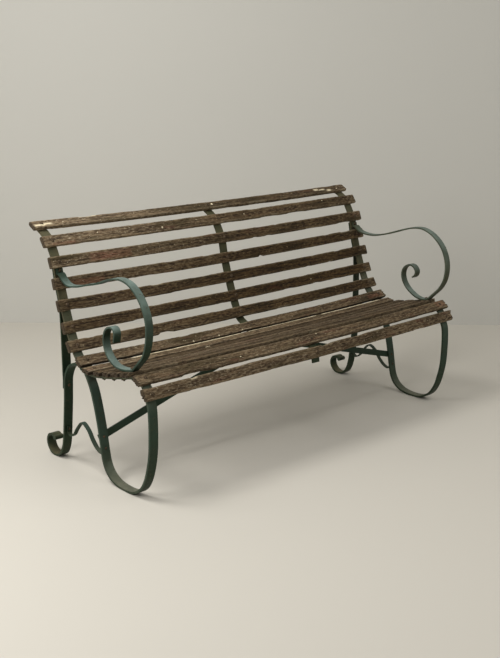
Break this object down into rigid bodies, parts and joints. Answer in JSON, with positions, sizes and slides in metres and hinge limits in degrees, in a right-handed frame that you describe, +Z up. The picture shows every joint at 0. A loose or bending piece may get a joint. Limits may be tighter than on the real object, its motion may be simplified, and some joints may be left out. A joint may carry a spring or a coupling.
{
  "type": "garden bench",
  "caption": "Slatted wooden garden bench on bent flat-iron ends with loop front legs, scrolled rear feet and scrolled arms.",
  "frame": {"origin": "on the floor, under the middle of the bench's bounding box", "axes": "+X along the bench towards the end on the right seen from the front, -Y to the front, +Z up"},
  "size_m": [1.52, 0.6378, 0.8198],
  "materials": {
    "weathered_wood": "bare weathered timber, coarse grain, worn edges",
    "painted_iron": "old dark green paint over forged flat bar, worn in places",
    "rusty_iron": "rusted bolts and rivets"
  },
  "bodies": {
    "root": {"back_slat_1": "weathered_wood", "back_slat_2": "weathered_wood", "back_slat_3": "weathered_wood", "back_slat_4": "weathered_wood", "back_slat_5": "weathered_wood", "back_slat_6": "weathered_wood", "back_slat_7": "weathered_wood", "corner_slat": "weathered_wood", "seat_slat_1": "weathered_wood", "seat_slat_2": "weathered_wood", "seat_slat_3": "weathered_wood", "seat_slat_4": "weathered_wood", "seat_slat_5": "weathered_wood", "front_roll_slat": "weathered_wood", "front_edge_slat": "weathered_wood", "centre_strap": "painted_iron", "end_bar_left": "painted_iron", "rear_leg_left": "painted_iron", "back_stay_left": "painted_iron", "arm_left": "painted_iron", "stretcher_left": "painted_iron", "brace_left": "painted_iron", "end_bar_right": "painted_iron", "rear_leg_right": "painted_iron", "back_stay_right": "painted_iron", "arm_right": "painted_iron", "stretcher_right": "painted_iron", "brace_right": "painted_iron", "arm_bolt_left": "rusty_iron", "corner_bolt_left": "rusty_iron", "arm_foot_bolt_left": "rusty_iron", "stay_bolt_left": "rusty_iron", "rear_stretcher_rivet_left": "rusty_iron", "front_stretcher_rivet_left": "rusty_iron", "brace_rivet_left": "rusty_iron", "arm_bolt_right": "rusty_iron", "corner_bolt_right": "rusty_iron", "arm_foot_bolt_right": "rusty_iron", "stay_bolt_right": "rusty_iron", "rear_stretcher_rivet_right": "rusty_iron", "front_stretcher_rivet_right": "rusty_iron", "brace_rivet_right": "rusty_iron", "centre_brace_bolt": "rusty_iron"}
  },
  "joints": []
}
